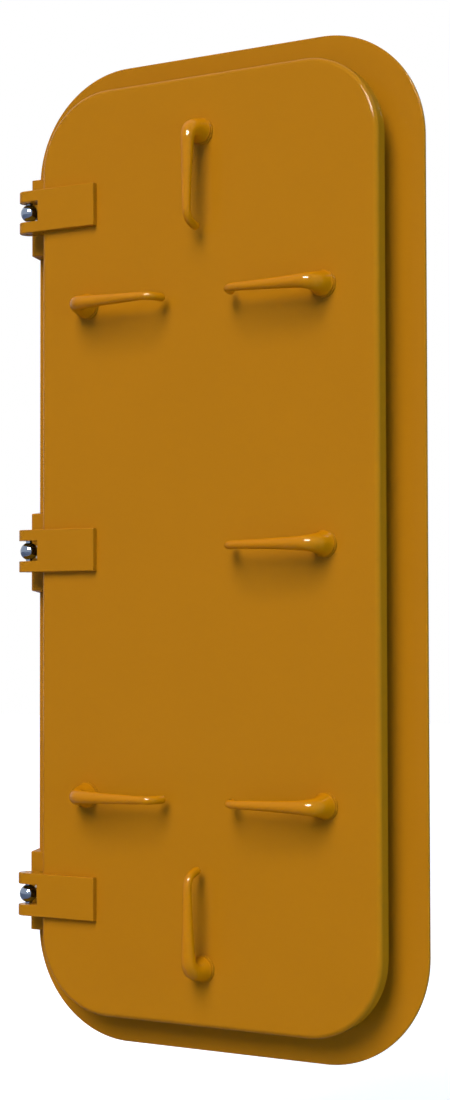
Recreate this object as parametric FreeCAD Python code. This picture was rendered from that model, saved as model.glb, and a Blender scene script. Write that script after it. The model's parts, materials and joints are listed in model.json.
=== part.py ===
"""Hinged watertight door for a ship's bulkhead, 600 x 1600 mm clear opening.

A welded frame (flange and coaming) carries three eyebolt hinges. The leaf is a pressed steel pan
with a rubber gasket that meets the coaming's knife edge. Seven dogs hold it shut: each has a forged
handle and spindle outside, and a lever inside whose nose slides on to a wedge of the frame.

Frame of the part: X to the right seen from outside, Y inboard, Z up. The origin is the centre of
the clear opening, in the plane of the bulkhead, which the flange's back face lies on.
Dogs are turned free. All sizes are in millimetres.
"""

import FreeCAD, Part
import math
import os

V = FreeCAD.Vector
X_AXIS = V(1, 0, 0)
Y_AXIS = V(0, 1, 0)
CUT = 1.0                    # how far a cutting tool reaches past the face that it leaves by
TOUCH = 0.001                # places closer than this are the same place

# ---- Clear opening and welded frame ----
opening_width = 600.0
opening_height = 1600.0
opening_corner = 94.0
coaming_thickness = 8.0
coaming_outboard = 52.0      # knife edge, ahead of the bulkhead plane
coaming_inboard = 28.0       # inner edge, behind the bulkhead plane
knife_edge_bevel = 2.4
flange_thickness = 8.0
flange_width = 98.0
flange_edge_bevel = 2.0

# ---- Leaf: pressed pan, gasket and its two retaining bars ----
leaf_lap = 50.0              # leaf's edge beyond the clear opening
leaf_face_out = 80.0         # leaf's outside face, ahead of the bulkhead plane
leaf_plate = 6.0
leaf_rim_depth = 30.0
leaf_edge_round = 9.0
gasket_width = 36.0
gasket_gap = 0.3             # closed leaf, before the dogs draw it in
gasket_edge_bevel = 3.0
retainer_thickness = 6.0
retainer_depth = 18.0
stiffener_thickness = 8.0
stiffener_depth = 24.0
stiffener_from_end = 190.0   # outer stiffeners to the clear opening's ends

# ---- Hinges ----
hinge_from_end = 162.0       # outer hinges to the clear opening's ends
hinge_axis_out = 73.5        # pin's axis, ahead of the bulkhead plane
hinge_axis_side = 33.0       # pin's axis, beyond the leaf's edge
strap_height = 79.0
strap_proud = 12.0
strap_length = 124.0         # on the leaf's face
strap_slot = 38.0
strap_edge_bevel = 1.2
ear_gap = 2.0                # ears' inner face to the leaf's edge
hinge_pin_radius = 6.0
pin_fit = 0.08               # radial, pin in the eye
pin_seat = 0.02              # radial, pin in the ears
pin_recess = 1.0
eye_radius = 16.5
eye_height = 31.0
eyebolt_shank_radius = 8.0
eyebolt_engaged = 20.0
thread_fit = 0.05
lock_nut_flats = 24.0
lock_nut_height = 8.0
pad_thickness = 26.0
pad_height = 146.0
pad_width = 54.0
pad_blind_end = 4.0          # pad left behind the tapped hole
pad_end_slope = 4.0          # the pad's ends splay out towards the flange

# ---- Dogs: one station is drawn with its handle along -X, its nose along -Z ----
spindle_inset = 54.0         # spindle's axis inside the clear opening
side_dog_from_end = 350.0    # upper and lower side dogs to the clear opening's ends
spindle_radius = 10.0
spindle_fit = 0.06           # radial
boss_radius = 24.5
boss_height = 5.0
bush_radius = 19.0
bush_end = 14.0              # bush's inner end, behind the bulkhead plane
bush_hole_gap = 0.2
packing_radius = 15.0
packing_length = 18.0
gland_flats = 36.0
gland_height = 10.0
thrust_gap = 0.4             # handle's hub to the boss
lever_gap = 2.0              # gland to the lever's hub
hub_radius = 23.0
hub_height = 5.0
lever_hub_radius = 20.0
lever_hub_length = 32.0
lever_square = 14.0
square_fit = 0.1
lever_arm_thickness = 18.0
grip_thickness = 14.0
nose_reach = 74.0
nose_root_width = 34.0
nose_tip_width = 24.0
grip_reach = 140.0
grip_root_width = 22.0
grip_tip_width = 30.0
stud_radius = 8.0
stud_length = 17.0
nut_flats = 24.0
nut_height = 13.0
wedge_clearance = 0.5        # lever's nose to the wedge's crown
wedge_lead = 34.0
wedge_lead_height = 3.0
wedge_crown = 15.0
wedge_overhang = 18.0        # wedge beyond the coaming's outside
wedge_root_depth = 20.0      # weld seat along the coaming's outside

# Outer grip: distance along the grip from the spindle, height over the hub, radius, lean.
# The lean is the direction of the bar: 90 degrees leaves the leaf squarely, 0 runs along it.
grip_sides = 16
handle_stations = (
    (0.0, 0.0, 22.0, 90.0),
    (0.0, 9.0, 19.8, 90.0),
    (1.0, 19.0, 17.4, 84.0),
    (6.0, 29.5, 15.0, 56.0),
    (16.0, 36.5, 13.2, 22.0),
    (34.0, 39.0, 11.8, 4.0),
    (80.0, 40.5, 9.6, 2.0),
    (144.0, 42.0, 7.4, -4.0),
    (158.0, 37.5, 7.2, -38.0),
    (167.0, 27.0, 7.0, -56.0),
    (174.0, 13.5, 6.6, -64.0),
    (177.5, 6.0, 4.4, -66.0),
    (178.5, 3.6, 2.0, -66.0),
)

# ---- Places worked out from the sizes above ----
half_width = opening_width / 2
half_height = opening_height / 2
leaf_side = half_width + leaf_lap
leaf_face = -leaf_face_out
pan_back = leaf_face + leaf_plate
rim_back = leaf_face + leaf_rim_depth
knife_edge = -coaming_outboard
flange_front = -flange_thickness
frame_side = half_width + coaming_thickness + flange_width
gasket_middle = coaming_thickness / 2
gasket_front = knife_edge - gasket_gap
hinge_x = -(leaf_side + hinge_axis_side)
hinge_y = -hinge_axis_out
strap_front = leaf_face - strap_proud
ear_radius = hinge_y - strap_front
pad_front = flange_front - pad_thickness
boss_front = leaf_face - boss_height
gland_end = bush_end + gland_height
lever_start = gland_end + lever_gap
lever_end = lever_start + lever_hub_length
arm_face = lever_end - lever_arm_thickness
side_dog_x = half_width - spindle_inset
side_dog_z = half_height - side_dog_from_end
end_dog_z = half_height - spindle_inset
hinge_z = half_height - hinge_from_end
hinge_heights = {"top": hinge_z, "middle": 0.0, "bottom": -hinge_z}
stiffener_z = half_height - stiffener_from_end
stiffener_heights = (-stiffener_z, -side_dog_z / 2, side_dog_z / 2, stiffener_z)

# A dog's name, its spindle's place (x, z), its turn about -Y and whether it is the left-hand kind.
dog_places = {
    "top": (0.0, end_dog_z, 90.0, False),
    "bottom": (0.0, -end_dog_z, -90.0, False),
    "left_upper": (-side_dog_x, side_dog_z, 0.0, True),
    "left_lower": (-side_dog_x, -side_dog_z, 0.0, True),
    "right_upper": (side_dog_x, side_dog_z, 0.0, False),
    "right_middle": (side_dog_x, 0.0, 0.0, False),
    "right_lower": (side_dog_x, -side_dog_z, 0.0, False),
}


# ---- Helpers ----
def outline(grow, y):
    """The clear opening's rounded rectangle, grown all round, in the plane y."""
    w = half_width + grow
    h = half_height + grow
    r = opening_corner + grow
    k = r * (1 - math.sqrt(0.5))
    edges = []
    corners = ((1, 1), (-1, 1), (-1, -1), (1, -1))
    for i, (sx, sz) in enumerate(corners):
        on_side = V(sx * w, y, sz * (h - r))
        on_end = V(sx * (w - r), y, sz * h)
        middle = V(sx * (w - k), y, sz * (h - k))
        start, end = (on_side, on_end) if sx * sz > 0 else (on_end, on_side)
        edges.append(Part.Arc(start, middle, end).toShape())
        nx, nz = corners[(i + 1) % 4]
        if sx * sz > 0:
            following = V(nx * (w - r), y, nz * h)
        else:
            following = V(nx * w, y, nz * (h - r))
        edges.append(Part.makeLine(end, following))
    return Part.Wire(edges)


def slab(grow, y0, y1):
    return Part.Face(outline(grow, y0)).extrude(V(0, y1 - y0, 0))


def ring(inner_grow, outer_grow, y0, y1):
    return slab(outer_grow, y0, y1).cut(slab(inner_grow, y0 - CUT, y1 + CUT))


def edges_at(shape, y, grow=None):
    """Edges that lie in the plane y, and, if grow is given, on that outline."""
    found = []
    for edge in shape.Edges:
        box = edge.BoundBox
        if abs(box.YMin - y) > TOUCH or abs(box.YMax - y) > TOUCH:
            continue
        if grow is not None and not on_outline(edge, grow):
            continue
        found.append(edge)
    return found


def on_outline(edge, grow):
    middle = edge.valueAt((edge.FirstParameter + edge.LastParameter) / 2)
    r = opening_corner + grow
    dx = abs(middle.x) - (half_width + grow - r)
    dz = abs(middle.z) - (half_height + grow - r)
    reach = math.hypot(max(dx, 0), max(dz, 0)) if dx > 0 and dz > 0 else max(dx, dz)
    return abs(reach - r) < 10 * TOUCH


def rod(radius, y0, y1, x=0.0, z=0.0):
    """Cylinder along Y."""
    return Part.makeCylinder(radius, y1 - y0, V(x, y0, z), Y_AXIS)


def block(x0, x1, y0, y1, z0, z1):
    return Part.makeBox(x1 - x0, y1 - y0, z1 - z0, V(x0, y0, z0))


def hexagon(flats, y0, y1, x=0.0, z=0.0):
    """Hexagonal prism along Y."""
    corner = flats / math.sqrt(3)
    points = []
    for i in range(7):
        angle = math.radians(60 * i)
        points.append(V(x + corner * math.cos(angle), y0, z + corner * math.sin(angle)))
    return Part.Face(Part.makePolygon(points)).extrude(V(0, y1 - y0, 0))


def forged_grip(start_y):
    """Tapered bar along -X through the handle's stations, hammered to a many-sided round section."""
    sections = []
    for along, out, radius, lean in handle_stations:
        slope = math.radians(lean)
        points = []
        for i in range(grip_sides + 1):
            angle = 2 * math.pi * (i + 0.5) / grip_sides
            across = radius * math.cos(angle)
            x = -along + across * math.sin(slope)
            y = start_y - out - across * math.cos(slope)
            points.append(V(x, y, radius * math.sin(angle)))
        sections.append(Part.makePolygon(points))
    return Part.makeLoft(sections, True, True)


def at_station(shape, place):
    """A dog's piece drawn at the origin, moved to its own spindle."""
    x, z, turn, left_hand = place
    moved = shape.mirror(V(0, 0, 0), X_AXIS) if left_hand else shape.copy()
    moved.rotate(V(0, 0, 0), -Y_AXIS, turn)
    moved.translate(V(x, 0, z))
    return moved


# ---- Frame ----
def frame_flange():
    plate = ring(coaming_thickness, coaming_thickness + flange_width, flange_front, 0.0)
    rim = edges_at(plate, flange_front, coaming_thickness + flange_width)
    return plate.makeChamfer(flange_edge_bevel, rim)


def coaming():
    bar = ring(0.0, coaming_thickness, knife_edge, coaming_inboard)
    return bar.makeChamfer(knife_edge_bevel, edges_at(bar, knife_edge))


def dog_wedge():
    """Wedge on the coaming's inner edge; the nose comes from -Z and stops over the crown."""
    crown = arm_face - wedge_clearance
    start = -wedge_lead - wedge_crown
    profile = Part.makePolygon([
        V(0, coaming_inboard, start),
        V(0, coaming_inboard + wedge_lead_height, start),
        V(0, crown, -wedge_crown),
        V(0, crown, wedge_crown),
        V(0, coaming_inboard, wedge_crown),
        V(0, coaming_inboard, start),
    ])
    width = coaming_thickness + wedge_overhang
    ramp = Part.Face(profile).extrude(V(width, 0, 0))
    seat = block(coaming_thickness, width, coaming_inboard - wedge_root_depth, coaming_inboard,
                 start, wedge_crown)
    wedge = ramp.fuse(seat).removeSplitter()
    wedge.translate(V(spindle_inset, 0, 0))
    return wedge


# ---- Leaf ----
def leaf_panel():
    outer = slab(leaf_lap, leaf_face, rim_back)
    outer = outer.makeFillet(leaf_edge_round, edges_at(outer, leaf_face))
    inner = slab(leaf_lap - leaf_plate, pan_back, rim_back)
    pan = outer.cut(inner)
    for x, z, _, _ in dog_places.values():
        pan = pan.cut(rod(bush_radius + bush_hole_gap, leaf_face - CUT, pan_back + CUT, x, z))
    return pan


def gasket():
    half = gasket_width / 2
    strip = ring(gasket_middle - half, gasket_middle + half, pan_back, gasket_front)
    return strip.makeChamfer(gasket_edge_bevel, edges_at(strip, gasket_front))


def retainer(inner_grow):
    return ring(inner_grow, inner_grow + retainer_thickness, pan_back, pan_back + retainer_depth)


def leaf_stiffeners():
    reach = half_width + gasket_middle - gasket_width / 2 - retainer_thickness
    half = stiffener_thickness / 2
    bars = [
        block(-reach, reach, pan_back, pan_back + stiffener_depth, z - half, z + half)
        for z in stiffener_heights
    ]
    return Part.makeCompound(bars)


# ---- Hinges, drawn at height 0 ----
def hinge_strap():
    ear_inner = -(leaf_side + ear_gap)
    inboard_end = -(leaf_side - strap_length)
    low = -strap_height / 2
    edges = [
        Part.makeLine(V(inboard_end, leaf_face, low), V(inboard_end, strap_front, low)),
        Part.makeLine(V(inboard_end, strap_front, low), V(hinge_x, strap_front, low)),
        Part.Arc(V(hinge_x, strap_front, low), V(hinge_x - ear_radius, hinge_y, low),
                 V(hinge_x, hinge_y + ear_radius, low)).toShape(),
        Part.makeLine(V(hinge_x, hinge_y + ear_radius, low), V(ear_inner, hinge_y + ear_radius, low)),
        Part.makeLine(V(ear_inner, hinge_y + ear_radius, low), V(ear_inner, leaf_face, low)),
        Part.makeLine(V(ear_inner, leaf_face, low), V(inboard_end, leaf_face, low)),
    ]
    strap = Part.Face(Part.Wire(edges)).extrude(V(0, 0, strap_height))
    sharp = [e for e in strap.Edges if abs(e.BoundBox.YMax - strap_front) < TOUCH]
    strap = strap.makeChamfer(strap_edge_bevel, sharp)
    half_slot = strap_slot / 2
    slot = block(hinge_x - ear_radius - CUT, ear_inner, strap_front - CUT, hinge_y + ear_radius + CUT,
                 -half_slot, half_slot)
    hole = Part.makeCylinder(hinge_pin_radius + pin_seat, strap_height + 2 * CUT,
                             V(hinge_x, hinge_y, low - CUT))
    return strap.cut(slot).cut(hole)


def hinge_pin():
    half = strap_height / 2 - pin_recess
    return Part.makeCylinder(hinge_pin_radius, 2 * half, V(hinge_x, hinge_y, -half))


def hinge_eyebolt():
    half = eye_height / 2
    reach = eye_radius + CUT
    ball = Part.makeSphere(eye_radius, V(hinge_x, hinge_y, 0))
    between_flats = block(hinge_x - reach, hinge_x + reach, hinge_y - reach, hinge_y + reach, -half, half)
    ball = ball.common(between_flats)
    shank = rod(eyebolt_shank_radius, hinge_y, pad_front + eyebolt_engaged, hinge_x)
    bore = Part.makeCylinder(hinge_pin_radius + pin_fit, eye_height + 2 * CUT,
                             V(hinge_x, hinge_y, -half - CUT))
    return ball.fuse(shank).cut(bore)


def eyebolt_lock_nut():
    nut_front = pad_front - lock_nut_height
    nut = hexagon(lock_nut_flats, nut_front, pad_front, hinge_x)
    return nut.cut(rod(eyebolt_shank_radius + thread_fit, nut_front - CUT, pad_front + CUT, hinge_x))


def hinge_pad():
    back = pad_height / 2 + pad_end_slope
    front = pad_height / 2
    profile = Part.makePolygon([
        V(-frame_side, flange_front, -back),
        V(-frame_side, pad_front, -front),
        V(-frame_side, pad_front, front),
        V(-frame_side, flange_front, back),
        V(-frame_side, flange_front, -back),
    ])
    pad = Part.Face(profile).extrude(V(pad_width, 0, 0))
    tapped = rod(eyebolt_shank_radius + thread_fit, pad_front - CUT, flange_front - pad_blind_end, hinge_x)
    return pad.cut(tapped)


# ---- Dogs, drawn at the origin ----
def spindle_bush():
    """Bush welded through the leaf, with a boss ring outside and a packing box at its inner end."""
    bush = rod(boss_radius, boss_front, leaf_face)
    bush = bush.fuse(rod(bush_radius, leaf_face, bush_end)).removeSplitter()
    bush = bush.cut(rod(spindle_radius + spindle_fit, boss_front - CUT, bush_end + CUT))
    return bush.cut(rod(packing_radius, bush_end - packing_length, bush_end + CUT))


def spindle_packing():
    start = bush_end - packing_length
    rings = rod(packing_radius, start, bush_end)
    return rings.cut(rod(spindle_radius + spindle_fit, start - CUT, bush_end + CUT))


def gland_nut():
    nut = hexagon(gland_flats, bush_end, gland_end)
    return nut.cut(rod(spindle_radius + spindle_fit, bush_end - CUT, gland_end + CUT))


def handle():
    """Forged handle with its spindle: grip along -X, spindle along +Y."""
    hub_back = boss_front - thrust_gap
    hub_front = hub_back - hub_height
    hub = Part.makeCone(hub_radius, handle_stations[0][2], hub_height, V(0, hub_back, 0), -Y_AXIS)
    grip = forged_grip(hub_front)
    spindle = rod(spindle_radius, hub_back, lever_start)
    half = lever_square / 2
    square = block(-half, half, lever_start, lever_end, -half, half)
    stud = rod(stud_radius, lever_end, lever_end + stud_length)
    return hub.fuse([grip, spindle, square, stud]).removeSplitter()


def tapered_arm(root_width, tip_width, reach, thickness):
    """Flat arm from the spindle's axis towards +Z, with a round end; its outboard face is at y = 0."""
    root = root_width / 2
    tip = tip_width / 2
    tip_z = reach - tip
    edges = [
        Part.makeLine(V(root, 0, 0), V(tip, 0, tip_z)),
        Part.Arc(V(tip, 0, tip_z), V(0, 0, reach), V(-tip, 0, tip_z)).toShape(),
        Part.makeLine(V(-tip, 0, tip_z), V(-root, 0, 0)),
        Part.makeLine(V(-root, 0, 0), V(root, 0, 0)),
    ]
    return Part.Face(Part.Wire(edges)).extrude(V(0, thickness, 0))


def inner_lever():
    """Forged lever inside: nose along -Z, grip along +Z."""
    hub = rod(lever_hub_radius, lever_start, lever_end)
    nose = tapered_arm(nose_root_width, nose_tip_width, nose_reach, lever_arm_thickness)
    nose.rotate(V(0, 0, 0), Y_AXIS, 180)
    nose.translate(V(0, arm_face, 0))
    grip = tapered_arm(grip_root_width, grip_tip_width, grip_reach, grip_thickness)
    grip.translate(V(0, lever_end - grip_thickness, 0))
    half = lever_square / 2 + square_fit
    hole = block(-half, half, lever_start - CUT, lever_end + CUT, -half, half)
    return hub.fuse([nose, grip]).removeSplitter().cut(hole)


def spindle_nut():
    nut = hexagon(nut_flats, lever_end, lever_end + nut_height)
    return nut.cut(rod(stud_radius + thread_fit, lever_end - CUT, lever_end + nut_height + CUT))


# ---- Nodes ----
def build():
    half = gasket_width / 2
    nodes = {
        "frame_flange": frame_flange(),
        "coaming": coaming(),
        "leaf_panel": leaf_panel(),
        "gasket": gasket(),
        "gasket_retainer_outer": retainer(gasket_middle + half),
        "gasket_retainer_inner": retainer(gasket_middle - half - retainer_thickness),
        "leaf_stiffeners": leaf_stiffeners(),
    }

    def at_height(shape, z):
        moved = shape.copy()
        moved.translate(V(0, 0, z))
        return moved

    for piece in (hinge_pad, hinge_strap):
        for name, z in hinge_heights.items():
            nodes[f"{piece.__name__}_{name}"] = at_height(piece(), z)
    for piece in (hinge_pin, hinge_eyebolt, eyebolt_lock_nut):
        copies = [at_height(piece(), z) for z in hinge_heights.values()]
        nodes[f"{piece.__name__}s"] = Part.makeCompound(copies)

    for piece in (dog_wedge, handle, inner_lever, spindle_nut):
        for name, place in dog_places.items():
            nodes[f"{piece.__name__}_{name}"] = at_station(piece(), place)
    for node, piece in (("spindle_bushes", spindle_bush), ("spindle_packings", spindle_packing),
                        ("gland_nuts", gland_nut)):
        nodes[node] = Part.makeCompound([at_station(piece(), place) for place in dog_places.values()])
    return nodes


os.makedirs("parts", exist_ok=True)
for node, shape in build().items():
    shape.exportStep(f"parts/{node}.step")
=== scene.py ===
import json
import math

import bmesh
import bpy
from bpy.props import FloatProperty, FloatVectorProperty, IntProperty, PointerProperty
from mathutils import Matrix, Vector


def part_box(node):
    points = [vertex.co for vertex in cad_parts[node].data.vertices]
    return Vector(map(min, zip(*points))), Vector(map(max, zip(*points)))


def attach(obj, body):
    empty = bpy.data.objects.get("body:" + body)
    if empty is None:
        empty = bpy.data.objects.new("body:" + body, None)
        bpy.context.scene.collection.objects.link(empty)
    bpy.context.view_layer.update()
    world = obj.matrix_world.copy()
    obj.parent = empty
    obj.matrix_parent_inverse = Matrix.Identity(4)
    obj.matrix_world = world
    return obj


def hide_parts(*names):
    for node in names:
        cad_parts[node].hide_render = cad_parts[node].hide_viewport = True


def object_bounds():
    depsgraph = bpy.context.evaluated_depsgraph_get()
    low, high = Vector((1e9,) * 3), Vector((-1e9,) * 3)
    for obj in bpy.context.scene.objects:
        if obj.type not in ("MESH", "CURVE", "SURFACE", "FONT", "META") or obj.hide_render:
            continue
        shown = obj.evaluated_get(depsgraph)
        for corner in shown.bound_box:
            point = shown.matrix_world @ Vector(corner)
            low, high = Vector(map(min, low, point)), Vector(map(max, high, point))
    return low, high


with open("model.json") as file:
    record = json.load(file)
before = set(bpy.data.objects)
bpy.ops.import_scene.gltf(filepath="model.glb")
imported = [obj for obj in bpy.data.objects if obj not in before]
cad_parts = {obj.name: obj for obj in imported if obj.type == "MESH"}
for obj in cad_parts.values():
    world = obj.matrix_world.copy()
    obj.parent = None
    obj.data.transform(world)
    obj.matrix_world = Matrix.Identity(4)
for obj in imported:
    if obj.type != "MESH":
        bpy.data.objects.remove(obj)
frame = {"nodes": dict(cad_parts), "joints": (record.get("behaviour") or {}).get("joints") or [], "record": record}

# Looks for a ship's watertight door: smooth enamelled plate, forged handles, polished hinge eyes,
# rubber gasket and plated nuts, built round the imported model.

bl_info = {
    "name": "Watertight Door",
    "version": (1, 0, 0),
    "blender": (4, 5, 0),
    "location": "3D View > Sidebar > Door",
    "description": "Builds the looks of a ship's watertight door round its packed model",
    "category": "Object",
}

CAD_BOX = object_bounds()
LEAF_LOW, LEAF_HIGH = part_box("leaf_panel")
FLANGE_LOW, FLANGE_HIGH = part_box("frame_flange")
COAMING_LOW, COAMING_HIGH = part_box("coaming")
LEVER_LOW, LEVER_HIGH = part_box("inner_lever_right_middle")
BUSH_LOW, BUSH_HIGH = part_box("spindle_bushes")
JOINTS = {joint["name"]: joint for joint in frame["joints"]}
HINGE_X, HINGE_Y = JOINTS["leaf_swing"]["pos_m"][:2]
SLOTS = {part["node"]: part["material_slot"] for part in frame["record"]["subparts"]}
HINGE_NAMES = ("top", "middle", "bottom")
DOG_TURNS = {
    "top": 90, "bottom": -90, "left_upper": 0, "left_lower": 0,
    "right_upper": 0, "right_middle": 0, "right_lower": 0,
}
# Centre line of the forged grip: distance from the spindle, height over the hub, radius, in metres.
GRIP_LINE = (
    (0.0000, 0.0000, 0.0220),
    (0.0000, 0.0090, 0.0198),
    (0.0010, 0.0190, 0.0174),
    (0.0060, 0.0295, 0.0150),
    (0.0160, 0.0363, 0.0132),
    (0.0340, 0.0386, 0.0118),
    (0.0800, 0.0402, 0.0096),
    (0.1200, 0.0414, 0.0083),
    (0.1440, 0.0417, 0.0076),
    (0.1575, 0.0392, 0.0075),
    (0.1660, 0.0325, 0.0076),
    (0.1702, 0.0235, 0.0077),
    (0.1726, 0.0158, 0.0077),
    (0.1736, 0.0106, 0.0076),
)
GRIP_LINE_STEPS = 4
GRIP_END_STEPS = 5
GRIP_SIDES = 28

SPINDLE_RADIUS = 0.010
BUSH_TUBE_RADIUS = 0.019
THREAD_RADIUS = 0.008
THREAD_PITCH = 0.002
THREAD_LEAD = 0.001
NUT_ACROSS_FLATS = 0.024
ROUND_STEPS = 64
MERGE_DISTANCE = 0.00001
SAME_PLACE = 0.000001

# Place and size of each softbox, in metres. All of them face the middle of the door.
SOFTBOXES = {
    "key": ((2.3, -21.8, 19.0), (13.0, 21.0)),
    "reflector_card": ((2.9, -5.65, 4.85), (3.6, 2.6)),
    "side_fill": ((5.0, -0.8, -0.2), (2.0, 3.0)),
}
SIDE_FILL_COLOUR = (0.45, 1.0, 1.0)
SKY_ON_DOOR = (0.42, 0.86, 2.0)
FLOOR_LIFT = 0.9


def linear(hex_colour):
    """An sRGB hex colour as linear red, green and blue."""
    values = [int(hex_colour[i:i + 2], 16) / 255 for i in (0, 2, 4)]
    return tuple(v / 12.92 if v <= 0.04045 else ((v + 0.055) / 1.055) ** 2.4 for v in values)


class DoorSizes(bpy.types.PropertyGroup):
    leaf_corner: FloatProperty(
        name="Leaf corner", description="Radius of the leaf's outline at its corners",
        default=0.144, min=0.02, unit="LENGTH", subtype="DISTANCE")
    leaf_edge_round: FloatProperty(
        name="Leaf edge", description="Radius pressed round the leaf's front edge",
        default=0.009, min=0.001, unit="LENGTH", subtype="DISTANCE")
    leaf_plate: FloatProperty(
        name="Leaf plate", description="Thickness of the leaf's plate",
        default=0.006, min=0.001, unit="LENGTH", subtype="DISTANCE")
    opening_corner: FloatProperty(
        name="Opening corner", description="Radius of the clear opening's corners",
        default=0.094, min=0.02, unit="LENGTH", subtype="DISTANCE")
    coaming_plate: FloatProperty(
        name="Coaming bar", description="Thickness of the coaming's flat bar",
        default=0.008, min=0.002, unit="LENGTH", subtype="DISTANCE")
    flange_edge_round: FloatProperty(
        name="Flange edge", description="Radius ground on the flange's front edge",
        default=0.0025, min=0.0005, unit="LENGTH", subtype="DISTANCE")
    hub_radius: FloatProperty(
        name="Handle hub", description="Radius of the handle's hub on its boss",
        default=0.023, min=0.005, unit="LENGTH", subtype="DISTANCE")
    boss_radius: FloatProperty(
        name="Boss", description="Radius of the boss ring on the leaf's face",
        default=0.0245, min=0.005, unit="LENGTH", subtype="DISTANCE")
    orange_peel: FloatProperty(
        name="Orange peel", description="Width of the ripples that a spray gun leaves in the enamel",
        default=0.004, min=0.0005, unit="LENGTH", subtype="DISTANCE")
    weld_leg: FloatProperty(
        name="Weld leg", description="Leg of the fillet welds",
        default=0.005, min=0.001, unit="LENGTH", subtype="DISTANCE")
    arc_steps: IntProperty(
        name="Arc steps", description="Faces round each corner of the door's outline",
        default=40, min=8, max=96)


class DoorColours(bpy.types.PropertyGroup):
    enamel: FloatVectorProperty(
        name="Enamel", description="Sprayed marine enamel on all plate work",
        default=linear("AE6F0F"), size=3, min=0, max=1, subtype="COLOR")
    handle_enamel: FloatVectorProperty(
        name="Handle enamel", description="Glossier enamel brushed on the forged handles",
        default=linear("BC7404"), size=3, min=0, max=1, subtype="COLOR")
    rubber: FloatVectorProperty(
        name="Rubber", description="Neoprene gasket and packing",
        default=linear("232323"), size=3, min=0, max=1, subtype="COLOR")
    steel: FloatVectorProperty(
        name="Polished steel", description="Turned and polished hinge eyes and pins",
        default=linear("7F8CA0"), size=3, min=0, max=1, subtype="COLOR")
    zinc: FloatVectorProperty(
        name="Zinc plate", description="Plated nuts",
        default=linear("B4B4AC"), size=3, min=0, max=1, subtype="COLOR")
    brass: FloatVectorProperty(
        name="Gland brass", description="Machined brass gland nuts",
        default=linear("C29A4E"), size=3, min=0, max=1, subtype="COLOR")
    floor: FloatVectorProperty(
        name="Floor", description="Pale studio floor and backdrop",
        default=linear("ACACAC"), size=3, min=0, max=1, subtype="COLOR")


class DoorStage(bpy.types.PropertyGroup):
    camera_place: FloatVectorProperty(
        name="Camera", description="Where the camera stands",
        default=(1.9085, -3.2418, -0.1484), size=3, unit="LENGTH", subtype="TRANSLATION")
    camera_turn: FloatProperty(
        name="Turn", description="How far the camera looks to the left of straight at the door",
        default=math.radians(30.485), unit="ROTATION", subtype="ANGLE")
    camera_tilt: FloatProperty(
        name="Tilt", description="How far the camera looks up",
        default=math.radians(2.21), unit="ROTATION", subtype="ANGLE")
    camera_roll: FloatProperty(
        name="Roll", description="How far the camera leans to its right",
        default=math.radians(0.12), unit="ROTATION", subtype="ANGLE")
    camera_lens: FloatProperty(
        name="Lens", description="Focal length for a 36 mm long side",
        default=67.92, min=10, max=300)
    deck_drop: FloatProperty(
        name="Sill", description="Height of the frame's lower edge over the deck",
        default=0.30, min=0, unit="LENGTH", subtype="DISTANCE")
    key_power: FloatProperty(
        name="Key", description="Power of the softbox that lights the door",
        default=9450, min=0, unit="POWER")
    card_power: FloatProperty(
        name="Card", description="Brightness of the card that only shows in glossy paint and metal",
        default=4800, min=0, unit="POWER")
    fill_power: FloatProperty(
        name="Fill", description="Power of the cool light from the right",
        default=92, min=0, unit="POWER")
    ambient: FloatProperty(
        name="Ambient", description="Strength of the light from all round", default=0.19, min=0)


# ---- Materials ----
def add_node(tree, kind, inputs=None, links=None, **settings):
    """Adds a node with its settings, socket values and links from other nodes' outputs."""
    node = tree.nodes.new(kind)
    for name, value in settings.items():
        setattr(node, name, value)
    for socket, value in (inputs or {}).items():
        node.inputs[socket].default_value = value
    for socket, source in (links or {}).items():
        tree.links.new(source, node.inputs[socket])
    return node


def new_material(name):
    material = bpy.data.materials.new(name)
    material.use_nodes = True
    material.node_tree.nodes.clear()
    return material


def surface(material, shader):
    add_node(material.node_tree, "ShaderNodeOutputMaterial", links={"Surface": shader.outputs[0]})
    return material


def mottled(tree, coordinates, colour, size, amount):
    """A colour that drifts lighter and darker over patches of the given size."""
    drift = add_node(tree, "ShaderNodeTexNoise", {"Scale": 1 / size, "Detail": 3.0, "Roughness": 0.55},
                     {"Vector": coordinates})
    darker = tuple(c * (1 - amount) for c in colour)
    lighter = tuple(min(c * (1 + amount), 1) for c in colour)
    return add_node(tree, "ShaderNodeMix", {"A": (*darker, 1), "B": (*lighter, 1)},
                    {"Factor": drift.outputs["Fac"]}, data_type="RGBA")


def object_coordinates(tree):
    return add_node(tree, "ShaderNodeTexCoord").outputs["Object"]


def enamel_material(name, colour, peel, roughness, shine):
    """Marine enamel sprayed on blasted steel: an even glossy film with a faint orange peel."""
    material = new_material(name)
    tree = material.node_tree
    place = object_coordinates(tree)
    tint = mottled(tree, place, colour, 0.22, 0.03)
    ripple = add_node(tree, "ShaderNodeTexNoise", {"Scale": 1 / peel, "Detail": 1.0}, {"Vector": place})
    gloss = add_node(tree, "ShaderNodeMapRange", {"To Min": roughness * 0.85, "To Max": roughness * 1.2},
                     {"Value": ripple.outputs["Fac"]})
    bump = add_node(tree, "ShaderNodeBump", {"Strength": 0.12, "Distance": 0.00012},
                    {"Height": ripple.outputs["Fac"]})
    shader = add_node(
        tree, "ShaderNodeBsdfPrincipled",
        {"IOR": 1.5, "Specular IOR Level": shine},
        {"Base Color": tint.outputs["Result"], "Roughness": gloss.outputs["Result"],
         "Normal": bump.outputs["Normal"]})
    return surface(material, shader)


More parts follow.
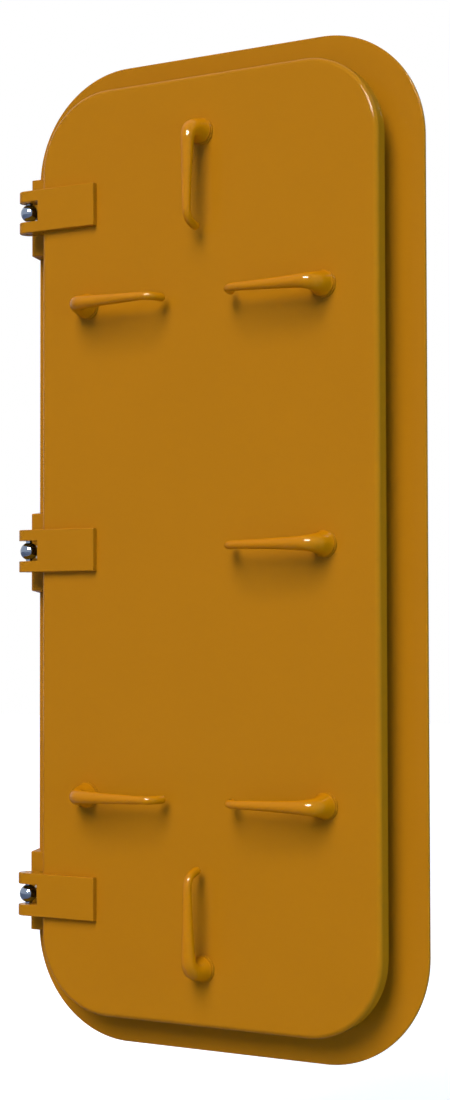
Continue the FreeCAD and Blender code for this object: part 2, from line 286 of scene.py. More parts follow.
def metal_material(name, colour, grain, roughness, depth):
    """Bare metal with the fine marks of its turning, plating or polishing."""
    material = new_material(name)
    tree = material.node_tree
    place = object_coordinates(tree)
    tint = mottled(tree, place, colour, grain * 6, 0.06)
    marks = add_node(tree, "ShaderNodeTexNoise", {"Scale": 1 / grain, "Detail": 4.0}, {"Vector": place})
    gloss = add_node(tree, "ShaderNodeMapRange", {"To Min": roughness * 0.7, "To Max": roughness * 1.4},
                     {"Value": marks.outputs["Fac"]})
    bump = add_node(tree, "ShaderNodeBump", {"Strength": 0.25, "Distance": depth},
                    {"Height": marks.outputs["Fac"]})
    shader = add_node(
        tree, "ShaderNodeBsdfPrincipled", {"Metallic": 1.0},
        {"Base Color": tint.outputs["Result"], "Roughness": gloss.outputs["Result"],
         "Normal": bump.outputs["Normal"]})
    return surface(material, shader)


def rubber_material(name, colour):
    """Moulded neoprene: dark and matt, with a talc bloom and a fine grain."""
    material = new_material(name)
    tree = material.node_tree
    place = object_coordinates(tree)
    tint = mottled(tree, place, colour, 0.05, 0.25)
    grain = add_node(tree, "ShaderNodeTexNoise", {"Scale": 1 / 0.0012, "Detail": 3.0}, {"Vector": place})
    bump = add_node(tree, "ShaderNodeBump", {"Strength": 0.4, "Distance": 0.0001},
                    {"Height": grain.outputs["Fac"]})
    shader = add_node(tree, "ShaderNodeBsdfPrincipled", {"Roughness": 0.72, "Specular IOR Level": 0.35},
                      {"Base Color": tint.outputs["Result"], "Normal": bump.outputs["Normal"]})
    return surface(material, shader)


def studio_ray(tree):
    """1 for rays from the camera and for reflections, 0 for light that falls on the object."""
    path = add_node(tree, "ShaderNodeLightPath")
    shiny = add_node(tree, "ShaderNodeMath", links={0: path.outputs["Is Camera Ray"],
                                                    1: path.outputs["Is Glossy Ray"]}, operation="MAXIMUM")
    return add_node(tree, "ShaderNodeMath", links={0: shiny.outputs[0],
                                                   1: path.outputs["Is Transmission Ray"]},
                    operation="MAXIMUM").outputs[0]


def floor_material(colour):
    """Pale matt studio paper, lifted to white where the camera sees it."""
    material = new_material("studio_paper")
    tree = material.node_tree
    tint = mottled(tree, object_coordinates(tree), colour, 0.8, 0.01)
    path = add_node(tree, "ShaderNodeLightPath")
    lift = add_node(tree, "ShaderNodeMath", {1: FLOOR_LIFT}, {0: path.outputs["Is Camera Ray"]},
                    operation="MULTIPLY")
    shader = add_node(tree, "ShaderNodeBsdfPrincipled", {"Roughness": 0.9, "Specular IOR Level": 0.1,
                                                         "Emission Color": (1, 1, 1, 1)},
                      {"Base Color": tint.outputs["Result"], "Emission Strength": lift.outputs[0]})
    return surface(material, shader)


def finishes():
    """The door's materials by the slot that they dress, made once."""
    colours = bpy.context.scene.door_colours
    sizes = bpy.context.scene.door_sizes
    made = bpy.data.materials
    if "marine_enamel" not in made:
        # Sprayed on plate: an even film with a faint orange peel.
        enamel_material("marine_enamel", tuple(colours.enamel), sizes.orange_peel, 0.07, 0.03)
        # Brushed on forgings: broader ripples and a stronger shine.
        enamel_material("forging_enamel", tuple(colours.handle_enamel), sizes.orange_peel * 1.5, 0.06, 0.12)
        # Turned and polished bright, with hair-fine marks.
        metal_material("polished_stainless", tuple(colours.steel), 0.002, 0.07, 0.00001)
        # Electroplated: satin and slightly grainy.
        metal_material("zinc_plate", tuple(colours.zinc), 0.0015, 0.32, 0.00003)
        # Turned brass: satin, with fine tool marks.
        metal_material("machined_brass", tuple(colours.brass), 0.001, 0.25, 0.00003)
        # Moulded: dark and matt.
        rubber_material("neoprene", tuple(colours.rubber))
    return {
        "orange_enamel": made["marine_enamel"],
        "handle_enamel": made["forging_enamel"],
        "polished_steel": made["polished_stainless"],
        "zinc_plated_steel": made["zinc_plate"],
        "gasket_rubber": made["neoprene"],
        "packing_rubber": made["neoprene"],
        "gland_brass": made["machined_brass"],
    }


# ---- Mesh helpers ----
def finish_piece(bm, name, body, slot, replaced=(), crease=32):
    """Makes the piece's object from its mesh, finishes it and hangs it on its body."""
    bmesh.ops.remove_doubles(bm, verts=bm.verts, dist=MERGE_DISTANCE)
    bmesh.ops.recalc_face_normals(bm, faces=bm.faces)
    mesh = bpy.data.meshes.new(name)
    bm.to_mesh(mesh)
    bm.free()
    mesh.shade_smooth()
    mesh.set_sharp_from_angle(angle=math.radians(crease))
    mesh.materials.append(finishes()[slot])
    piece = bpy.data.objects.new(name, mesh)
    bpy.context.scene.collection.objects.link(piece)
    even_shading = piece.modifiers.new("even_shading", "WEIGHTED_NORMAL")
    even_shading.keep_sharp = True
    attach(piece, body)
    if replaced:
        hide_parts(*replaced)
    return piece


def verts_of(geometry):
    return [g for g in geometry if isinstance(g, bmesh.types.BMVert)]


def faces_of(geometry):
    return [g for g in geometry if isinstance(g, bmesh.types.BMFace)]


def edges_of(geometry):
    return [g for g in geometry if isinstance(g, bmesh.types.BMEdge)]


def hinge_height(name):
    """Height of a hinge's middle, from its strap."""
    low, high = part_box(f"hinge_strap_{name}")
    return (low.z + high.z) / 2


def round_over(bm, geometry, width, steps, affect="EDGES"):
    """Rounds edges, or the corners at vertices."""
    return bmesh.ops.bevel(bm, geom=geometry, offset=width, segments=steps, profile=0.5, affect=affect,
                           material=-1)


def rounded_face(bm, half_width, half_height, corner, y, steps):
    """Rounded rectangle in the plane y, facing outboard."""
    verts = bmesh.ops.create_grid(bm, x_segments=1, y_segments=1, size=1.0)["verts"]
    bmesh.ops.scale(bm, vec=(half_width, half_height, 1), verts=verts)
    bmesh.ops.rotate(bm, cent=(0, 0, 0), matrix=Matrix.Rotation(math.pi / 2, 3, "X"), verts=verts)
    bmesh.ops.translate(bm, vec=(0, y, 0), verts=verts)
    round_over(bm, verts, corner, steps, affect="VERTICES")
    return [f for f in bm.faces if abs(f.calc_center_median().y - y) < SAME_PLACE]


def pull(bm, faces, vector):
    """Extrudes faces along a vector and returns the faces that moved."""
    rims = list({e for f in faces for e in f.edges})
    moved = bmesh.ops.extrude_face_region(bm, geom=faces + rims)["geom"]
    bmesh.ops.translate(bm, vec=vector, verts=verts_of(moved))
    return faces_of(moved)


def bevel_sharp(bm, width, steps, angle=60):
    """Rounds the edges whose faces meet more sharply than the angle."""
    limit = math.radians(angle)
    sharp = [e for e in bm.edges if e.is_manifold and e.calc_face_angle(0) > limit]
    round_over(bm, sharp, width, steps)


def lathe(bm, profile, centre, axis, steps):
    """Turns (radius, height) points about an axis through centre; the profile runs from end to end."""
    across = Vector((1, 0, 0))
    along = Vector(axis)
    verts = [bm.verts.new(Vector(centre) + across * radius + along * height) for radius, height in profile]
    edges = [bm.edges.new(pair) for pair in zip(verts, verts[1:])]
    bmesh.ops.spin(bm, geom=verts + edges, cent=centre, axis=along, angle=2 * math.pi, steps=steps,
                   use_merge=True, use_duplicate=False)


def thread_profile(radius, start, end, pitch):
    """Crests and roots of a thread, as rings, between two heights."""
    turns = int((end - start) / pitch)
    depth = pitch * 0.5
    points = []
    for turn in range(turns):
        height = start + turn * pitch
        points += [(radius - depth, height), (radius, height + pitch * 0.4), (radius, height + pitch * 0.6)]
    return points + [(radius - depth, start + turns * pitch)]


def dog_matrix(name):
    """Moves a dog's piece, drawn with its grip along -X, to its own spindle."""
    joint = JOINTS[f"dog_{name}_turn"]
    x, _, z = joint["pos_m"]
    flip = Matrix.Scale(-1, 4, (1, 0, 0)) if joint["axis"][1] > 0 else Matrix.Identity(4)
    turn = Matrix.Rotation(math.radians(-DOG_TURNS[name]), 4, "Y")
    return Matrix.Translation((x, 0, z)) @ turn @ flip


def smooth_line(points, steps):
    """Catmull-Rom line through the points, with the given steps between each two."""
    line = []
    rows = [Vector(p) for p in (points[0], *points, points[-1])]
    for a, b, c, d in zip(rows, rows[1:], rows[2:], rows[3:]):
        for i in range(steps):
            t = i / steps
            line.append(0.5 * (2 * b + (c - a) * t + (2 * a - 5 * b + 4 * c - d) * t * t
                               + (3 * b - a - 3 * c + d) * t ** 3))
    return line + [rows[-2]]


def ring_bar(bm, outer, inner_inset, corner, y0, y1, steps):
    """Bar bent to a rounded rectangle: its outside half sizes and radius, and its width inwards."""
    faces = rounded_face(bm, outer[0], outer[1], corner, y0, steps)
    bmesh.ops.inset_region(bm, faces=faces, thickness=inner_inset, use_even_offset=True, use_boundary=True)
    middle = [f for f in bm.faces if len(f.verts) > 8]
    bmesh.ops.delete(bm, geom=middle, context="FACES_ONLY")
    pull(bm, list(bm.faces), (0, y1 - y0, 0))


# ---- Pieces ----
class DOOR_OT_flange(bpy.types.Operator):
    """Weld-in frame flange with a ground front edge"""
    bl_idname = "door.flange"
    bl_label = "Flange"

    def execute(self, context):
        sizes = context.scene.door_sizes
        bm = bmesh.new()
        inset = FLANGE_HIGH.x - COAMING_HIGH.x
        corner = sizes.opening_corner + sizes.coaming_plate + inset
        ring_bar(bm, (FLANGE_HIGH.x, FLANGE_HIGH.z), inset, corner, FLANGE_LOW.y, FLANGE_HIGH.y,
                 sizes.arc_steps)
        bevel_sharp(bm, sizes.flange_edge_round, 4)
        finish_piece(bm, "flange_plate", "frame", "orange_enamel", ["frame_flange"])
        return {"FINISHED"}


class DOOR_OT_coaming(bpy.types.Operator):
    """Coaming bar with its rounded knife edge"""
    bl_idname = "door.coaming"
    bl_label = "Coaming"

    def execute(self, context):
        sizes = context.scene.door_sizes
        knife_edge_round = 0.0024
        bm = bmesh.new()
        ring_bar(bm, (COAMING_HIGH.x, COAMING_HIGH.z), sizes.coaming_plate,
                 sizes.opening_corner + sizes.coaming_plate, COAMING_LOW.y, COAMING_HIGH.y, sizes.arc_steps)
        bevel_sharp(bm, knife_edge_round, 4)
        finish_piece(bm, "coaming_bar", "frame", "orange_enamel", ["coaming"])
        return {"FINISHED"}


class DOOR_OT_leaf(bpy.types.Operator):
    """Leaf pressed from plate: a flat face, a rounded edge and a rim"""
    bl_idname = "door.leaf"
    bl_label = "Leaf"

    def execute(self, context):
        sizes = context.scene.door_sizes
        bm = bmesh.new()
        face = rounded_face(bm, LEAF_HIGH.x, LEAF_HIGH.z, sizes.leaf_corner, LEAF_LOW.y, sizes.arc_steps)
        back = pull(bm, face, (0, LEAF_HIGH.y - LEAF_LOW.y, 0))
        bmesh.ops.inset_region(bm, faces=back, thickness=sizes.leaf_plate, use_even_offset=True)
        pull(bm, back, (0, LEAF_LOW.y + sizes.leaf_plate - LEAF_HIGH.y, 0))
        front = [e for e in bm.edges if all(abs(v.co.y - LEAF_LOW.y) < SAME_PLACE for v in e.verts)]
        round_over(bm, front, sizes.leaf_edge_round, 8)
        finish_piece(bm, "leaf_pressing", "leaf", "orange_enamel", ["leaf_panel"])
        return {"FINISHED"}


class DOOR_OT_bosses(bpy.types.Operator):
    """Spindle bushes welded through the leaf, with a turned boss ring outside"""
    bl_idname = "door.bosses"
    bl_label = "Bosses"

    def execute(self, context):
        sizes = context.scene.door_sizes
        face, end = BUSH_LOW.y, BUSH_HIGH.y
        radius, edge = sizes.boss_radius, 0.0012
        tube, bore, box, depth = BUSH_TUBE_RADIUS, 0.01006, 0.015, 0.018
        profile = (
            (bore, end - depth), (bore, face), (radius - edge, face),
            (radius - edge * 0.3, face + edge * 0.3), (radius, face + edge), (radius, LEAF_LOW.y),
            (tube, LEAF_LOW.y), (tube, end - edge), (tube - edge, end), (box, end), (box, end - depth),
            (bore, end - depth),
        )
        bm = bmesh.new()
        for name in DOG_TURNS:
            x, _, z = JOINTS[f"dog_{name}_turn"]["pos_m"]
            lathe(bm, profile, (x, 0, z), (0, 1, 0), ROUND_STEPS)
        finish_piece(bm, "boss_rings", "leaf", "orange_enamel", ["spindle_bushes"])
        return {"FINISHED"}


class DOOR_OT_handles(bpy.types.Operator):
    """Forged handles: hub, trumpet neck, tapered grip and turned-in tip, with the spindle behind"""
    bl_idname = "door.handles"
    bl_label = "Handles"

    def execute(self, context):
        rim = context.scene.door_sizes.hub_radius
        clearance, hub_height, dome = 0.0004, 0.005, 0.0005
        stud_root, stud_start, stud_chamfer = 0.012, 0.01, 0.0068
        square = LEVER_LOW.y
        for name in DOG_TURNS:
            node = f"handle_{name}"
            stud_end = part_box(node)[1].y
            hub_back = BUSH_LOW.y - clearance
            hub_front = hub_back - hub_height
            bm = bmesh.new()
            self.grip(bm, hub_front)
            hub = ((0, hub_back), (rim - 0.0008, hub_back), (rim, hub_back - 0.001),
                   (rim, hub_back - 0.0030), (rim - 0.0003, hub_back - 0.0040),
                   (GRIP_LINE[0][2], hub_front), (0, hub_front - dome))
            lathe(bm, hub, (0, 0, 0), (0, 1, 0), ROUND_STEPS)
            spindle = ((0, hub_back), (SPINDLE_RADIUS, hub_back), (SPINDLE_RADIUS, square), (0, square))
            lathe(bm, spindle, (0, 0, 0), (0, 1, 0), 40)
            thread = thread_profile(THREAD_RADIUS, LEVER_HIGH.y - stud_start, stud_end - THREAD_LEAD,
                                    THREAD_PITCH)
            stud = [(0, LEVER_HIGH.y - stud_root), *thread, (stud_chamfer, stud_end), (0, stud_end)]
            lathe(bm, stud, (0, 0, 0), (0, 1, 0), 32)
            bmesh.ops.transform(bm, matrix=dog_matrix(name), verts=bm.verts)
            finish_piece(bm, f"forged_handle_{name}", f"dog_{name}", "handle_enamel", [node], crease=40)
        return {"FINISHED"}

    def grip(self, bm, hub_front):
        line = smooth_line(GRIP_LINE, GRIP_LINE_STEPS)
        end = line[-1]
        run = (end - line[-2]).xy.normalized()
        # The last ring stops short of the tip's pole, where a cap closes it.
        for step in range(1, GRIP_END_STEPS + 1):
            angle = 0.5 * math.pi * step / (GRIP_END_STEPS + 0.3)
            ahead = run * end.z * math.sin(angle)
            line.append(Vector((end.x + ahead.x, end.y + ahead.y, end.z * math.cos(angle))))
        verts = bmesh.ops.create_circle(bm, cap_ends=True, radius=1.0, segments=GRIP_SIDES)["verts"]
        edges = list({e for v in verts for e in v.link_edges})
        before = Matrix.Identity(4)
        for here, ahead, behind in zip(line, line[1:] + line[-1:], line[:1] + line[:-1]):
            run = ahead - behind
            lean = math.atan2(run.y, run.x)
            place = Matrix.Translation((-here.x, hub_front - here.y, 0))
            turn = Matrix.Rotation(lean, 4, "Z") @ Matrix.Rotation(-math.pi / 2, 4, "Y")
            after = place @ turn @ Matrix.Scale(here.z, 4)
            if before != Matrix.Identity(4):
                made = bmesh.ops.extrude_edge_only(bm, edges=edges)["geom"]
                verts, edges = verts_of(made), edges_of(made)
                edges = [e for e in edges if all(v in verts for v in e.verts)]
            bmesh.ops.transform(bm, matrix=after @ before.inverted(), verts=verts)
            before = after
        bmesh.ops.contextual_create(bm, geom=edges)


class DOOR_OT_hinge_eyes(bpy.types.Operator):
    """Eyebolts: a polished ball with flats and a bore, and a threaded shank"""
    bl_idname = "door.hinge_eyes"
    bl_label = "Hinge eyes"

    def execute(self, context):
        ball, bore, flat, steps, sunk = 0.0165, 0.00608, 0.0155, 20, 0.004
        root = HINGE_Y + ball - sunk
        shank_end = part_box("hinge_eyebolts")[1].y - THREAD_LEAD
        rim = math.asin(flat / ball)
        arc = [(ball * math.cos(a), ball * math.sin(a))
               for a in (rim * (2 * i / steps - 1) for i in range(steps + 1))]
        profile = [(bore, -flat)] + arc + [(bore, flat), (bore, -flat)]
        bm = bmesh.new()
        for name in HINGE_NAMES:
            z = hinge_height(name)
            lathe(bm, profile, (HINGE_X, HINGE_Y, z), (0, 0, 1), ROUND_STEPS)
            thread = thread_profile(THREAD_RADIUS, HINGE_Y + ball + THREAD_LEAD, shank_end, THREAD_PITCH)
            shank = [(0, root), (THREAD_RADIUS, root), *thread, (0, shank_end)]
            lathe(bm, shank, (HINGE_X, 0, z), (0, 1, 0), 32)
        finish_piece(bm, "polished_eyes", "frame", "polished_steel", ["hinge_eyebolts"])
        return {"FINISHED"}


class DOOR_OT_levers(bpy.types.Operator):
    """Inner levers: hub, nose that rides the wedge, and a flat grip, all with eased edges"""
    bl_idname = "door.levers"
    bl_label = "Inner levers"

    def execute(self, context):
        thickness, grip_thickness, edge, set_back, rim = 0.018, 0.014, 0.002, 0.0006, 0.020
        nose, grip = (0.034, 0.024, -0.074), (0.022, 0.030, 0.140)
        for name in DOG_TURNS:
            bm = bmesh.new()
            self.arm(bm, *nose, LEVER_HIGH.y - thickness, LEVER_HIGH.y - set_back)
            self.arm(bm, *grip, LEVER_HIGH.y - grip_thickness, LEVER_HIGH.y - set_back)
            bevel_sharp(bm, edge, 3)
            hub = ((0, LEVER_LOW.y), (rim - edge, LEVER_LOW.y), (rim, LEVER_LOW.y + edge),
                   (rim, LEVER_HIGH.y - edge), (rim - edge, LEVER_HIGH.y), (0, LEVER_HIGH.y))
            lathe(bm, hub, (0, 0, 0), (0, 1, 0), 48)
            bmesh.ops.transform(bm, matrix=dog_matrix(name), verts=bm.verts)
            finish_piece(bm, f"dog_lever_{name}", f"dog_{name}", "handle_enamel", [f"inner_lever_{name}"])
        return {"FINISHED"}

    def arm(self, bm, root, tip, reach, y0, y1):
        """Flat bar from the spindle: its width at the root and at the rounded tip, and its reach."""
        corners = ((-root / 2, 0), (-tip / 2, reach), (tip / 2, reach), (root / 2, 0))
        face = bm.faces.new([bm.verts.new((x, y0, z)) for x, z in corners])
        ends = [v for v in face.verts if abs(v.co.z - reach) < SAME_PLACE]
        made = round_over(bm, ends, tip * 0.49, 10, affect="VERTICES")
        faces = list({f for v in made["verts"] for f in v.link_faces})
        pull(bm, faces, (0, y1 - y0, 0))


class DOOR_OT_nuts(bpy.types.Operator):
    """Plated hexagon nuts on the spindles' inner ends and on the eyebolts"""
    bl_idname = "door.nuts"
    bl_label = "Nuts"

    def execute(self, context):
        for name in DOG_TURNS:
            x, _, z = JOINTS[f"dog_{name}_turn"]["pos_m"]
            low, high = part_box(f"spindle_nut_{name}")
            bm = bmesh.new()
            self.nut(bm, x, z, low.y, high.y)
            finish_piece(bm, f"lever_nut_{name}", f"dog_{name}", "zinc_plated_steel", [f"spindle_nut_{name}"])
        bm = bmesh.new()
        low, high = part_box("eyebolt_lock_nuts")
        for name in HINGE_NAMES:
            self.nut(bm, HINGE_X, hinge_height(name), low.y, high.y)
        finish_piece(bm, "lock_nuts", "frame", "zinc_plated_steel", ["eyebolt_lock_nuts"])
        return {"FINISHED"}

    def nut(self, bm, x, z, y0, y1):
        corner, chamfer = NUT_ACROSS_FLATS / math.sqrt(3), 0.0008
        made = bmesh.ops.create_cone(bm, cap_ends=True, segments=6, radius1=corner, radius2=corner,
                                     depth=y1 - y0)["verts"]
        bmesh.ops.rotate(bm, cent=(0, 0, 0), matrix=Matrix.Rotation(math.pi / 2, 3, "X"), verts=made)
        bmesh.ops.rotate(bm, cent=(0, 0, 0), matrix=Matrix.Rotation(math.pi / 6, 3, "Y"), verts=made)
        bmesh.ops.translate(bm, vec=(x, (y0 + y1) / 2, z), verts=made)
        edges = list({e for v in made for e in v.link_edges})
        round_over(bm, edges, chamfer, 2)


class DOOR_OT_eased_plates(bpy.types.Operator):
    """Cut and machined pieces with their sharp edges eased for paint"""
    bl_idname = "door.eased_plates"
    bl_label = "Eased plates"

    def execute(self, context):
        cut_edge, pad_edge, small_edge = 0.0010, 0.0015, 0.0008
        for name in HINGE_NAMES:
            self.ease(f"hinge_strap_{name}", "leaf", cut_edge)
            self.ease(f"hinge_pad_{name}", "frame", pad_edge)
        for name in DOG_TURNS:
            self.ease(f"dog_wedge_{name}", "frame", cut_edge)
        self.ease("leaf_stiffeners", "leaf", cut_edge)
        for node in ("gasket_retainer_outer", "gasket_retainer_inner", "gland_nuts", "hinge_pins"):
            self.ease(node, "leaf", small_edge)
        return {"FINISHED"}

    def ease(self, node, body, width):
        bm = bmesh.new()
        bm.from_mesh(frame["nodes"][node].data)
        bmesh.ops.remove_doubles(bm, verts=bm.verts, dist=0.00002)
        bmesh.ops.dissolve_limit(bm, angle_limit=math.radians(0.5), verts=bm.verts, edges=bm.edges)
        bevel_sharp(bm, width, 3, angle=50)
        finish_piece(bm, f"eased_{node}", body, SLOTS[node], [node])


class DOOR_OT_gasket(bpy.types.Operator):
    """Neoprene gasket with the shallow groove that the knife edge leaves in it"""
    bl_idname = "door.gasket"
    bl_label = "Gasket"

    def execute(self, context):
        sizes = context.scene.door_sizes
        low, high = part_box("gasket")
        width = high.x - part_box("gasket_retainer_inner")[1].x
        corner = sizes.opening_corner + high.x - COAMING_HIGH.x + sizes.coaming_plate
        groove, ramp, depth, edge = 0.013, 0.003, 0.0015, 0.003
        bm = bmesh.new()
        ring_bar(bm, (high.x, high.z), width, corner, low.y, high.y, sizes.arc_steps)
        front = [f for f in bm.faces
                 if f.normal.y > 0.9 or abs(f.calc_center_median().y - high.y) < SAME_PLACE]
        bmesh.ops.inset_region(bm, faces=front, thickness=groove, use_even_offset=True)
        bmesh.ops.inset_region(bm, faces=front, thickness=ramp, use_even_offset=True)
        bmesh.ops.translate(bm, vec=(0, -depth, 0), verts=list({v for f in front for v in f.verts}))
        rim = [e for e in bm.edges if all(abs(v.co.y - high.y) < SAME_PLACE for v in e.verts)
               and e.is_manifold and e.calc_face_angle(0) > math.radians(60)]
        round_over(bm, rim, edge, 4)
        finish_piece(bm, "knife_edge_gasket", "leaf", "gasket_rubber", ["gasket"])
        return {"FINISHED"}


class DOOR_OT_welds(bpy.types.Operator):
    """Fillet welds: coaming to flange, stiffeners to leaf, wedges to coaming and bushes to leaf"""
    bl_idname = "door.welds"
    bl_label = "Welds"

    def execute(self, context):
        sizes = context.scene.door_sizes
        bead, tube, inside_tube = sizes.weld_leg, BUSH_TUBE_RADIUS, 0.018
        bm = bmesh.new()
        for y0, y1 in ((FLANGE_HIGH.y, FLANGE_HIGH.y + bead), (FLANGE_LOW.y, FLANGE_LOW.y - bead)):
            self.ring(bm, COAMING_HIGH.x, COAMING_HIGH.z, sizes.opening_corner + sizes.coaming_plate, y0, y1)
        for name in DOG_TURNS:
            low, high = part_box(f"dog_wedge_{name}")
            self.round_foot(bm, low, high)
        finish_piece(bm, "frame_welds", "frame", "orange_enamel")
        bm = bmesh.new()
        low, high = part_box("leaf_stiffeners")
        back = LEAF_LOW.y + sizes.leaf_plate
        for z in sorted({round(v.co.z, 4) for v in frame["nodes"]["leaf_stiffeners"].data.vertices}):
            self.straight(bm, (low.x, back, z), (high.x, back, z), bead * 0.7)
        for name in DOG_TURNS:
            x, _, z = JOINTS[f"dog_{name}_turn"]["pos_m"]
            profile = ((inside_tube, back), (tube + bead, back), (tube + bead * 0.8, back + bead * 0.5),
                       (tube + bead * 0.3, back + bead * 0.9), (inside_tube, back + bead),
                       (inside_tube, back))
            lathe(bm, profile, (x, 0, z), (0, 1, 0), 48)
        finish_piece(bm, "leaf_welds", "leaf", "orange_enamel")
        return {"FINISHED"}

    def ring(self, bm, half_width, half_height, corner, y0, y1):
        """Weld all the way round the coaming, from y0 on the flange's face to y1."""
        made = bmesh.new()
        leg, lap = abs(y1 - y0), 0.001
        steps = bpy.context.scene.door_sizes.arc_steps
        ring_bar(made, (half_width + leg, half_height + leg), leg + lap, corner + leg, y0, y1, steps)
        rim = [e for e in made.edges if e.is_manifold and e.calc_face_angle(0) > math.radians(60)
               and all(abs(v.co.y - y1) < SAME_PLACE for v in e.verts)
               and all(abs(v.co.x) > half_width + leg * 0.5 or abs(v.co.z) > half_height + leg * 0.5
                       or self.outside(v.co, half_width, half_height, corner, leg) for v in e.verts)]
        round_over(made, rim, leg * 0.95, 4)
        mesh = bpy.data.meshes.new("bead")
        made.to_mesh(mesh)
        made.free()
        bm.from_mesh(mesh)
        bpy.data.meshes.remove(mesh)

    def outside(self, co, half_width, half_height, corner, leg):
        across = abs(co.x) - (half_width - corner)
        up = abs(co.z) - (half_height - corner)
        return across > 0 and up > 0 and math.hypot(across, up) > corner + leg * 0.5

    def straight(self, bm, start, end, radius):
        start, end = Vector(start), Vector(end)
        made = bmesh.ops.create_cone(bm, cap_ends=True, segments=12, radius1=radius, radius2=radius,
                                     depth=(end - start).length)["verts"]
        turn = (end - start).to_track_quat("Z", "Y").to_matrix()
        bmesh.ops.rotate(bm, cent=(0, 0, 0), matrix=turn, verts=made)
        bmesh.ops.translate(bm, vec=(start + end) / 2, verts=made)

    def round_foot(self, bm, low, high):
        """Weld round a wedge's seat, on the coaming's outside."""
        across = high.x - low.x > high.z - low.z
        middle = (low + high) / 2
        foot, run = COAMING_HIGH.y, 0.018
        leg = bpy.context.scene.door_sizes.weld_leg * 0.7
        if across:
            side = math.copysign(COAMING_HIGH.z, middle.z)
            for x in (low.x, high.x):
                self.straight(bm, (x, foot - run, side), (x, foot, side), leg)
        else:
            side = math.copysign(COAMING_HIGH.x, middle.x)
            for z in (low.z, high.z):
                self.straight(bm, (side, foot - run, z), (side, foot, z), leg)


class DOOR_OT_finish_plain_nodes(bpy.types.Operator):
    """Gives every node that stays visible its own finish"""
    bl_idname = "door.finish_plain_nodes"
    bl_label = "Finish plain nodes"

    def execute(self, context):
        for name, piece in frame["nodes"].items():
            piece.data.materials.clear()
            piece.data.materials.append(finishes()[SLOTS[name]])
        return {"FINISHED"}


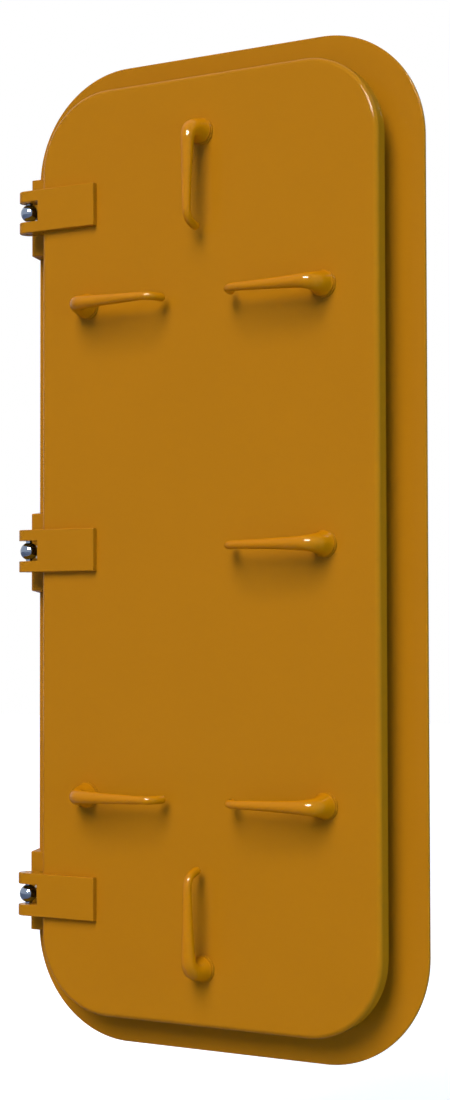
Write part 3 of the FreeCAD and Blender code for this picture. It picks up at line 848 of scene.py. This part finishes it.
class DOOR_OT_stage(bpy.types.Operator):
    """Pale floor, soft studio light and the camera"""
    bl_idname = "door.stage"
    bl_label = "Stage"

    def execute(self, context):
        stage = context.scene.door_stage
        self.floor(context, stage)
        self.world(context, stage)
        key = self.softbox("key", stage.key_power)
        key.visible_glossy = False
        card = self.softbox("reflector_card", stage.card_power)
        card.visible_diffuse = False
        side = self.softbox("side_fill", stage.fill_power)
        side.visible_glossy = False
        side.data.color = SIDE_FILL_COLOUR
        self.camera(context, stage)
        return {"FINISHED"}

    def floor(self, context, stage):
        half_side, behind = 14, 4
        bm = bmesh.new()
        bmesh.ops.create_grid(bm, x_segments=8, y_segments=8, size=half_side)
        bmesh.ops.translate(bm, vec=(0, behind, CAD_BOX[0][2] - stage.deck_drop), verts=bm.verts)
        mesh = bpy.data.meshes.new("floor")
        bm.to_mesh(mesh)
        bm.free()
        mesh.materials.append(floor_material(tuple(context.scene.door_colours.floor)))
        floor = bpy.data.objects.new("floor", mesh)
        context.scene.collection.objects.link(floor)

    def world(self, context, stage):
        world = bpy.data.worlds.new("studio")
        context.scene.world = world
        world.use_nodes = True
        tree = world.node_tree
        tree.nodes.clear()
        strength = add_node(tree, "ShaderNodeMapRange", {"To Min": stage.ambient, "To Max": 1.0},
                            {"Value": studio_ray(tree)})
        tint = add_node(tree, "ShaderNodeMix", {"A": (*SKY_ON_DOOR, 1), "B": (1, 1, 1, 1)},
                        {"Factor": studio_ray(tree)}, data_type="RGBA")
        sky = add_node(tree, "ShaderNodeBackground",
                       links={"Color": tint.outputs["Result"], "Strength": strength.outputs["Result"]})
        add_node(tree, "ShaderNodeOutputWorld", links={"Surface": sky.outputs[0]})

    def softbox(self, name, power):
        place, size = SOFTBOXES[name]
        lamp = bpy.data.lights.new(name, "AREA")
        lamp.shape = "RECTANGLE"
        lamp.size, lamp.size_y = size
        lamp.energy = power
        holder = bpy.data.objects.new(name, lamp)
        holder.location = place
        holder.rotation_euler = (-Vector(place)).to_track_quat("-Z", "Y").to_euler()
        bpy.context.scene.collection.objects.link(holder)
        return holder

    def camera(self, context, stage):
        lens = bpy.data.cameras.new("camera")
        lens.lens = stage.camera_lens
        lens.sensor_width = 36
        lens.clip_end = 100
        camera = bpy.data.objects.new("camera", lens)
        camera.location = stage.camera_place
        camera.rotation_euler = (math.pi / 2 + stage.camera_tilt, stage.camera_roll, stage.camera_turn)
        context.scene.collection.objects.link(camera)
        context.scene.camera = camera


STEPS = (
    DOOR_OT_finish_plain_nodes, DOOR_OT_flange, DOOR_OT_coaming, DOOR_OT_leaf, DOOR_OT_bosses,
    DOOR_OT_handles, DOOR_OT_hinge_eyes, DOOR_OT_levers, DOOR_OT_nuts, DOOR_OT_eased_plates,
    DOOR_OT_gasket, DOOR_OT_welds, DOOR_OT_stage,
)


class DOOR_PT_sidebar(bpy.types.Panel):
    """The door's sizes, colours, stage and steps"""
    bl_idname = "DOOR_PT_sidebar"
    bl_label = "Watertight Door"
    bl_space_type = "VIEW_3D"
    bl_region_type = "UI"
    bl_category = "Door"

    def draw(self, context):
        for group in (context.scene.door_sizes, context.scene.door_colours, context.scene.door_stage):
            for name in group.__annotations__:
                self.layout.prop(group, name)
        for step in STEPS:
            self.layout.operator(step.bl_idname)


CLASSES = (DoorSizes, DoorColours, DoorStage, *STEPS, DOOR_PT_sidebar)


def register():
    for cls in CLASSES:
        bpy.utils.register_class(cls)
    bpy.types.Scene.door_sizes = PointerProperty(type=DoorSizes)
    bpy.types.Scene.door_colours = PointerProperty(type=DoorColours)
    bpy.types.Scene.door_stage = PointerProperty(type=DoorStage)


def unregister():
    del bpy.types.Scene.door_stage
    del bpy.types.Scene.door_colours
    del bpy.types.Scene.door_sizes
    for cls in reversed(CLASSES):
        bpy.utils.unregister_class(cls)


def main():
    register()
    bpy.context.scene.view_settings.view_transform = "Standard"
    for step in STEPS:
        category, name = step.bl_idname.split(".")
        getattr(getattr(bpy.ops, category), name)()


if __name__ == "__main__":
    main()
